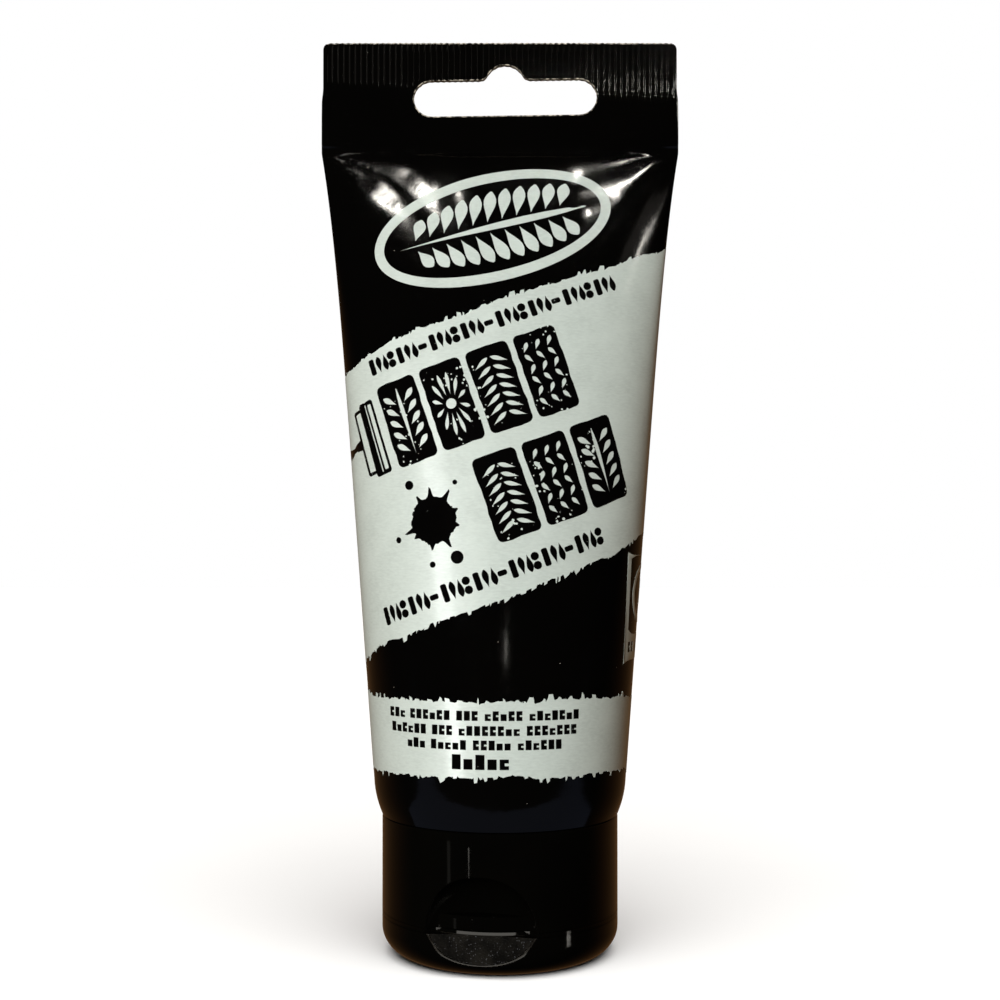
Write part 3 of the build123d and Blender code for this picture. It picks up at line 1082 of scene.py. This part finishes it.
def makeCapBody():
    c = cap
    outer, inner = c["radius"], c["radius"] - c["wall"]
    rings = [ringAt(r, z) for r, z in (
        (2.1, 3.4), (3.05, 3.4), (3.2, 3.55), (4.3, 7.7), (4.55, 7.9), (14.0, 7.9), (14.0, 6.0),
        (14.1, 5.9), (15.0, 5.9), (15.2, 6.1), (15.2, c["parting"]))]
    levels = [c["parting"], c["parting"] + 0.12]
    levels += list(np.arange(c["parting"] + 0.24, c["ledgeTop"] - 0.06, 0.24)) + [c["ledgeTop"]]
    levels += [c["ledgeTop"] + 0.001] + list(np.arange(c["ledgeTop"] + 0.1, c["facetHigh"] - 0.02, 0.12))
    levels += [c["facetHigh"], c["facetHigh"] + 0.001]
    levels += list(np.arange(c["facetHigh"] + 0.1, 16.4, 0.12)) + [18.0, 20.0, c["top"] - c["rim"]]
    for i, z in enumerate(levels):
        ledge = 0.0 if z > c["ledgeTop"] else c["ledge"] - 0.15 * (z > c["ledgeTop"] - 0.1)
        radius = softMin(outer, np.maximum(recessRadius(z), ledge), c["soft"])
        if z <= c["facetHigh"]:
            radius = np.minimum(radius, facetRadius())
        rings.append(ringAt(radius - (0.12 if i == 0 else 0), z))
    rings += [ringAt(r, z) for r, z in arc((outer - c["rim"], c["top"] - c["rim"]), c["rim"], 15, 90, 5)]
    for z in [c["top"], c["top"] - 0.4] + list(np.arange(18.4, c["deckTop"], -0.4)) + [c["deckTop"]]:
        rings.append(ringAt(softMin(inner, recessRadius(z, c["backing"]), c["soft"]), z))
    rings += [ringAt(r, z) for r, z in (
        (9.9, c["deckTop"]), (9.9, 16.0), (9.7, 16.2), (8.6, 16.2), (8.05, 15.7), (8.05, 15.0),
        (8.8, 15.0), (8.8, c["deckTop"]), (2.1, c["deckTop"]))]
    return turnedShell("cap_shell", rings, [blackCap], [], closed=True)


def makeLid():
    c = cap
    outer = c["radius"]
    flat = outer - c["edge"]
    rings = [ringAt(0.15, 0.18), ringAt(1.3, 0.18), ringAt(1.5, 0.0), ringAt(flat - 4, 0.0)]
    outline = arc((flat, c["edge"]), c["edge"], -90, 0, 44)
    outline += [(outer, z) for z in np.arange(c["edge"] + 0.12, c["lip"] - 0.03, 0.12)] + [(outer, c["lip"])]
    kinds = [0] * (len(rings) - 1) * len(around)
    matt = np.zeros(len(around), bool)      # 1 is the eroded scoop, 2 its edge with a painted highlight
    for r, z in outline:
        scoop = scoopRadius(z)
        radius = softMin(r, scoop, 0.3)
        if z >= c["facetLow"]:
            radius = np.minimum(radius, facetRadius())
        deep = r - scoop
        kinds += [int(v) for v in np.where(matt & (deep > 0.1), 1, np.where(np.abs(deep) < 0.1, 2, 0))]
        matt = deep > 0.1
        rings.append(ringAt(radius, z))
    lipRadius = softMin(outer, np.maximum(recessRadius(c["lip"]), c["ledge"]), c["soft"])
    lipRadius = np.minimum(lipRadius, facetRadius())
    # the lip's front edge takes the painted edge highlight
    lipEdge = np.where(np.degrees(np.abs(around)) < 23, 2, 0)
    stops = ((0.1, c["lip"] + 0.001), (0.0, c["lip"] + 0.12),
             (0.0, c["parting"] - 0.13), (0.1, c["parting"] - 0.03))
    for i, (inset, z) in enumerate(stops):
        rings.append(ringAt(lipRadius - inset, z))
        kinds += list(lipEdge if i == 1 else np.zeros(len(around), int))
    for z in (c["parting"] - 0.03, 6.6, 6.0, 5.4, 4.8, 4.4):
        backed = softMin(17.7, scoopRadius(min(z, c["lip"]), c["backing"]), c["soft"])
        rings.append(ringAt(np.minimum(backed, 17.7), z))
    for r, z in arc((14.7, 4.4), 3.0, 0, -90, 9)[1:]:
        rings.append(ringAt(softMin(r, scoopRadius(z, c["backing"]), c["soft"]), z))
    rings += [ringAt(r, z) for r, z in ((2.2, 1.4), (1.75, 1.85), (1.75, 5.6))]
    rings += [ringAt(r, z) for r, z in arc((1.15, 5.6), 0.6, 20, 90, 5)]
    rings.append(ringAt(0.15, 6.2))
    return turnedShell("flip_lid", rings, [blackCap, gritCap, edgeHighlightMaterial], kinds, closed=False)


def makeHinge():
    # a web that thins to a waist at the parting line
    low, high = 6.0, 8.2
    width, thick, face = 9.0, 0.36, cap["facet"]
    rows, verts, faces = 28, [], []
    for i in range(rows + 1):
        z = low + (high - low) * i / rows
        waist = 0.55 + 0.45 * smooth((abs(z - cap["parting"]) - 0.12) / 0.5)
        y0, y1 = face + thick / 2 * (1 - waist), face + thick / 2 * (1 + waist)
        round_ = 0.07
        section = [(-width / 2, y0), (width / 2, y0), (width / 2, y1 - round_),
                   (width / 2 - round_, y1), (-width / 2 + round_, y1), (-width / 2, y1 - round_)]
        verts += [(x, y, z) for x, y in section]
    for i in range(rows):
        bridge(faces, i * 6, i * 6 + 6, 6)
    faces += [tuple(range(6))[::-1], tuple(range(rows * 6, rows * 6 + 6))]
    verts = [(*turned([(x, y)], (0, 0), cap["turned"])[0], z) for x, y, z in verts]
    return makePiece("hinge_web", verts, faces, [blackCap])


capPiece = makeCapBody()
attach(capPiece, "cap")
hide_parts("cap_body")

lidPiece = makeLid()
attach(lidPiece, "lid")
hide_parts("lid")

hingePiece = makeHinge()
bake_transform(hingePiece)
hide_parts("film_hinge")
print("cap, lid and hinge made")


# moulded head: a CAD node, natural polyethylene

def naturalPolyethylene():
    # unpigmented PE as moulded: milky, waxy, with soft flow marks
    finish = Finish("natural_polyethylene", {
        "IOR": 1.51, "Subsurface Weight": 0.3, "Subsurface Scale": 0.001})
    flow = finish.noise(7, 3)
    return finish.done(finish.mix(flow, "#d9d6cc", "#c4c0b4"), finish.remap(flow, toLow=0.32, toHigh=0.48))


head = frame["nodes"]["shoulder"]
head.data.materials.clear()
head.data.materials.append(naturalPolyethylene())


# camera, lights, floor and surroundings

view = {"place": (0.0, -0.265, 0.0704), "tilt": 90.92, "lens": 57.0, "sensor": 36.0}

cameraData = bpy.data.cameras.new("camera")
cameraData.lens = view["lens"]
cameraData.sensor_width = view["sensor"]
cameraData.clip_start = 0.01
camera = bpy.data.objects.new("camera", cameraData)
camera.location = view["place"]
camera.rotation_euler = (math.radians(view["tilt"]), 0, 0)
bpy.context.scene.collection.objects.link(camera)
bpy.context.scene.camera = camera


def addLight(name, kind, place, towards, power, size, colour, lights, sizeY=None):
    # lights is what the lamp may light: "diffuse" for the studio's soft light, "glossy" for reflections
    data = bpy.data.lights.new(name, kind)
    data.energy = power
    data.color = linear(colour)[:3]
    if kind == "SUN":
        data.angle = math.radians(size)
    elif sizeY is None:
        data.shape = "DISK"
        data.size = size
    else:
        data.shape = "RECTANGLE"
        data.size, data.size_y = size, sizeY
    lamp = bpy.data.objects.new(name, data)
    lamp.location = place
    lamp.rotation_euler = (Vector(towards) - Vector(place)).to_track_quat("-Z", "Y").to_euler()
    lamp.visible_camera = False
    lamp.visible_glossy = lights == "glossy"
    lamp.visible_diffuse = lights == "diffuse"
    bpy.context.scene.collection.objects.link(lamp)
    return lamp


studio = {
    "floor": {"power": 4.4, "angle": 70, "colour": "#ffffff", "from": (0.0, -0.5, 1.0)},
    "front": {"power": 4.7, "size": 0.26, "colour": "#fffffa", "from": (-0.255, -0.64, 0.2)},
    "overhead": {"power": 0.28, "angle": 60, "colour": "#fffdf8", "from": (0.0, -0.8, 1.0)},
    "warm": {"power": 0.8, "size": 0.3, "colour": "#b98a5a", "from": (0.62, 0.14, 0.2)},
    "warmLeft": {"power": 0.4, "size": 0.3, "colour": "#c8925c", "from": (-0.62, 0.1, 0.2)},
    "back": {"power": 5.0, "size": 0.4, "colour": "#fffaf2", "from": (0.0, 0.75, 0.3)},
    "blue": {"power": 1.25, "size": 3.0, "tall": 0.8, "colour": "#aab6d8", "from": (0.0, -0.25, -0.3)},
    "ribs": {"power": 0.0065, "size": 0.006, "tall": 0.008, "colour": "#fffaf0",
             "from": (0.09, -0.08, 0.169),
             "at": (0.0265, -0.002, 0.178), "spread": 44},
    "ribsBroad": {"power": 0.008, "size": 0.12, "colour": "#fff6ea", "from": (0.36, -0.24, 0.28)},
    "sheen": {"power": 3.6, "size": 0.16, "tall": 0.5, "colour": "#ffffff", "from": (-0.42, -0.6, 0.03)},
    "scoop": {"power": 0.4, "size": 0.4, "tall": 0.16, "colour": "#fffaf0", "from": (-0.08, -0.3, -0.12)},
    "glintDistance": 0.4,
    "glintReach": 0.011,
    "sleeveGlints": [           # where on the sleeve each small lamp is mirrored, its size and strength
        {"at": (-18.8, 124.8), "size": 0.014, "power": 0.14},
        {"at": (-11.2, 124.0), "size": 0.024, "power": 0.26},
        {"at": (12.5, 128.2), "size": 0.022, "power": 0.5},
        {"at": (18.6, 125.6), "size": 0.016, "power": 0.19},
        {"at": (24.6, 118.0), "size": 0.01, "power": 0.03},
        {"at": (0.9, 51.2), "size": 0.006, "power": 0.003},
    ],
    "capGlints": [              # degrees round from the front, height and rise of the normal on cap or lid
        {"on": "cap", "at": (-14.4, 18.6, 0), "size": 0.004, "tall": 0.03, "power": 0.0009},
        {"on": "cap", "at": (-24.0, 18.0, 0), "size": 0.02, "tall": 0.07, "power": 0.0007},
        {"on": "lid", "at": (33.0, 6.4, 0), "size": 0.003, "tall": 0.004, "power": 0.0008},
        {"on": "lid", "at": (33.9, 5.7, 0), "size": 0.003, "tall": 0.004, "power": 0.0008},
        {"on": "lid", "at": (32.8, 4.9, 0), "size": 0.003, "tall": 0.004, "power": 0.0008},
    ],
}


def makeFloor():
    # one pale sheet, very slightly uneven
    count, reach = 40, 1500.0
    stops = np.linspace(-reach, reach, count + 1)
    verts = [(x, y, -0.02) for y in stops for x in stops]
    wide = count + 1
    faces = [(r * wide + c, r * wide + c + 1, (r + 1) * wide + c + 1, (r + 1) * wide + c)
             for r in range(count) for c in range(count)]
    finish = Finish("pale_paper", {"Roughness": 0.9, "Specular IOR Level": 0.1})
    paper = finish.done(finish.mix(finish.noise(60, 2), "#f6f5f3", "#f1f0ee"), None)
    floor = makePiece("floor", verts, faces, [paper])
    floor.visible_glossy = False
    floor.visible_diffuse = False
    floor.visible_shadow = False
    return floor


def lightOnly(lamp, pieces):
    group = bpy.data.collections.new(lamp.name + "_lights")
    for piece in pieces:
        group.objects.link(piece)
    lamp.light_linking.receiver_collection = group


def mirrorLamp(name, point, normal, size, tall, power, pieces, reach=None):
    # a small lamp placed where that spot of the surface mirrors it towards the front; reach keeps
    # its light to a disc of that radius round the spot, as bright in the middle as an open lamp
    sight = point - np.array(view["place"])
    sight /= np.linalg.norm(sight)
    mirrored = sight - 2 * (sight @ normal) * normal
    place = point + mirrored * studio["glintDistance"]
    lamp = addLight(name, "AREA", place, point, power, size, "#fffaf0", "glossy", sizeY=tall)
    if reach:
        half = math.atan(reach / studio["glintDistance"])
        lamp.data.spread = 2 * half
        lamp.data.energy *= 1 - half / math.tan(half)
    lightOnly(lamp, pieces)


def lampFrom(name, kind, lights, pieces):
    c = studio[name]
    size = c["angle"] if kind == "SUN" else c["size"]
    towards = c.get("at", (0, 0, 0.07))
    lamp = addLight(name, kind, c["from"], towards, c["power"], size, c["colour"], lights, c.get("tall"))
    if "spread" in c:
        lamp.data.spread = math.radians(c["spread"])
    lightOnly(lamp, pieces)


floorPiece = makeFloor()
printPieces = [o for o in bpy.data.objects if o.name.startswith("print_")]
sleevePieces = [sleevePiece] + printPieces
objectPieces = sleevePieces + [burrPiece, capPiece, lidPiece, hingePiece, head]
lampFrom("floor", "SUN", "diffuse", [floorPiece])
lampFrom("front", "AREA", "diffuse", objectPieces)
lampFrom("overhead", "SUN", "diffuse", objectPieces)
lampFrom("warm", "AREA", "diffuse", objectPieces)
lampFrom("warmLeft", "AREA", "diffuse", objectPieces)
lampFrom("back", "AREA", "diffuse", objectPieces)
lampFrom("blue", "AREA", "glossy", [sleevePiece])
lampFrom("ribs", "AREA", "glossy", [sleevePiece])
lampFrom("ribsBroad", "AREA", "glossy", [sleevePiece])
whiteBands = [o for o in printPieces if o.name in ("print_wide_band", "print_low_band")]
lampFrom("sheen", "AREA", "glossy", whiteBands)
lampFrom("scoop", "AREA", "glossy", [lidPiece])

for index, glint in enumerate(studio["sleeveGlints"]):
    spot = skinPoint(*glint["at"]).reshape(3) * mm
    facing = skinNormal(*glint["at"]).reshape(3)
    mirrorLamp(f"sleeve_glint_{index}", spot, facing, glint["size"], glint["size"],
               glint["power"], sleevePieces,
               reach=studio["glintReach"])

for index, glint in enumerate(studio["capGlints"]):
    degrees, z, rise = (math.radians(v) if i != 1 else v for i, v in enumerate(glint["at"]))
    level = np.array([math.sin(degrees), -math.cos(degrees), 0])
    facing = level * math.cos(rise) + np.array([0, 0, math.sin(rise)])
    spot = (level * cap["radius"] + [0, 0, z]) * mm
    mirrorLamp(f"cap_glint_{index}", spot, facing, glint["size"], glint["tall"], glint["power"],
               [capPiece if glint["on"] == "cap" else lidPiece])





def makeSurroundings():
    # white to look at; in reflections, dark in front and warm brown behind
    world = bpy.data.worlds.new("surroundings")
    world.use_nodes = True
    tree = world.node_tree
    tree.nodes.clear()
    direction = addNode(tree, "ShaderNodeTexCoord").outputs["Generated"]
    parts = addNode(tree, "ShaderNodeSeparateXYZ", inputs={"Vector": direction})
    behind = addNode(tree, "ShaderNodeMapRange", inputs={
        "Value": parts.outputs["Y"], "From Min": 0.0, "From Max": 1.0})
    nearer = addNode(tree, "ShaderNodeMath", {"operation": "POWER"}, {0: behind.outputs["Result"], 1: 1.4})
    sky = addNode(tree, "ShaderNodeMix", {"data_type": "RGBA"}, {
        "Factor": nearer.outputs[0], "A": linear("#040404"), "B": linear("#6a4b2e")})
    path = addNode(tree, "ShaderNodeLightPath")
    mirrored = addNode(tree, "ShaderNodeBackground", inputs={
        "Color": sky.outputs["Result"], "Strength": 1.0})
    seen = addNode(tree, "ShaderNodeBackground", inputs={"Color": linear("#ffffff"), "Strength": 1.0})
    both = addNode(tree, "ShaderNodeMixShader", inputs={0: path.outputs["Is Camera Ray"]})
    tree.links.new(mirrored.outputs[0], both.inputs[1])
    tree.links.new(seen.outputs[0], both.inputs[2])
    addNode(tree, "ShaderNodeOutputWorld", inputs={"Surface": both.outputs[0]})
    bpy.context.scene.world = world


makeSurroundings()
bpy.context.scene.view_settings.view_transform = "Standard"
print("camera, lights and floor placed")
